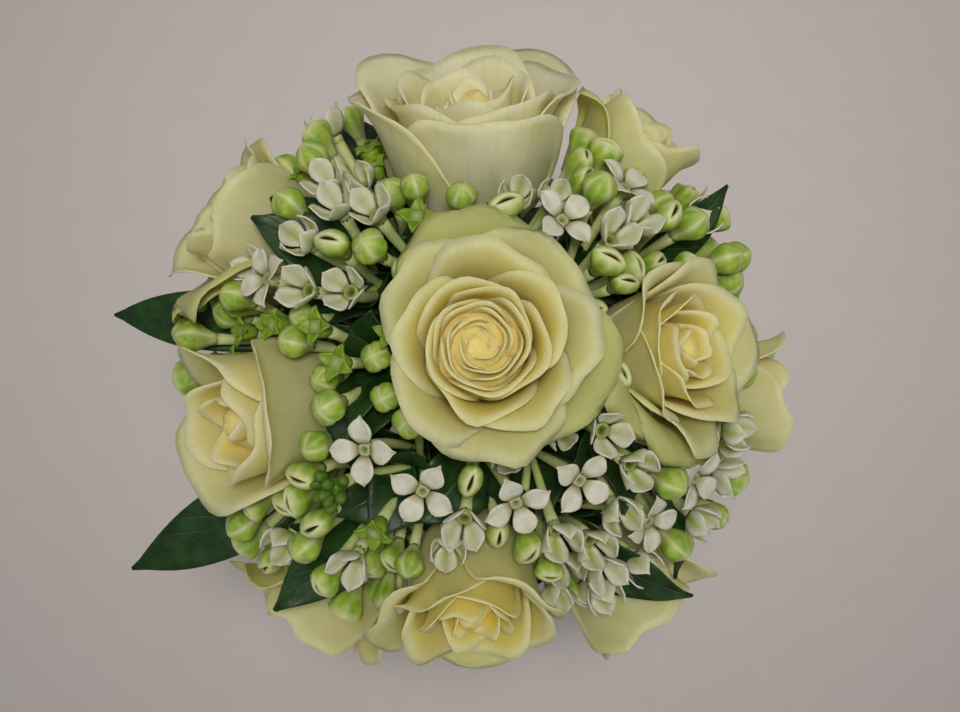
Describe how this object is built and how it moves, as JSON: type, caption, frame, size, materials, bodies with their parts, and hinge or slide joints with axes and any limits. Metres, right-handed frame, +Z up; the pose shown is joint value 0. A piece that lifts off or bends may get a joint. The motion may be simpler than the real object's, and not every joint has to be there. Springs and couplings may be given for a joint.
{
  "type": "bouquet",
  "caption": "Round hand-tied posy of cream roses and white bouvardia with dark green leaves, its spiralled stems bound together and standing on their cut ends",
  "frame": {"origin": "centre of the middle rose stem's cut end, on the surface that the posy stands on", "axes": "+Z up along the stems, +X to the picture's right and +Y to the picture's top, which is the posy's back"},
  "size_m": [0.2528, 0.228, 0.3238],
  "materials": {
    "rose_petal": "soft matt petal",
    "rose_stem": "green living stem, satin",
    "bouvardia": "fresh green and white, satin",
    "binding": "dry plant fibre, matt"
  },
  "bodies": {
    "root": {"rose_centre_bloom": "rose_petal", "rose_centre_stem": "rose_stem", "rose_back_bloom": "rose_petal", "rose_back_stem": "rose_stem", "rose_right_bloom": "rose_petal", "rose_right_stem": "rose_stem", "rose_left_bloom": "rose_petal", "rose_left_stem": "rose_stem", "rose_front_bloom": "rose_petal", "rose_front_stem": "rose_stem", "rose_back_left_bloom": "rose_petal", "rose_back_left_stem": "rose_stem", "rose_back_right_bloom": "rose_petal", "rose_back_right_stem": "rose_stem", "rose_far_right_bloom": "rose_petal", "rose_far_right_stem": "rose_stem", "rose_front_left_bloom": "rose_petal", "rose_front_left_stem": "rose_stem", "rose_front_right_bloom": "rose_petal", "rose_front_right_stem": "rose_stem", "bouvardia_01": "bouvardia", "bouvardia_02": "bouvardia", "bouvardia_03": "bouvardia", "bouvardia_04": "bouvardia", "bouvardia_05": "bouvardia", "bouvardia_06": "bouvardia", "bouvardia_07": "bouvardia", "bouvardia_08": "bouvardia", "bouvardia_09": "bouvardia", "bouvardia_10": "bouvardia", "bouvardia_11": "bouvardia", "bouvardia_12": "bouvardia", "bouvardia_13": "bouvardia", "bouvardia_14": "bouvardia", "bouvardia_15": "bouvardia", "bouvardia_16": "bouvardia", "binding": "binding"}
  },
  "joints": []
}
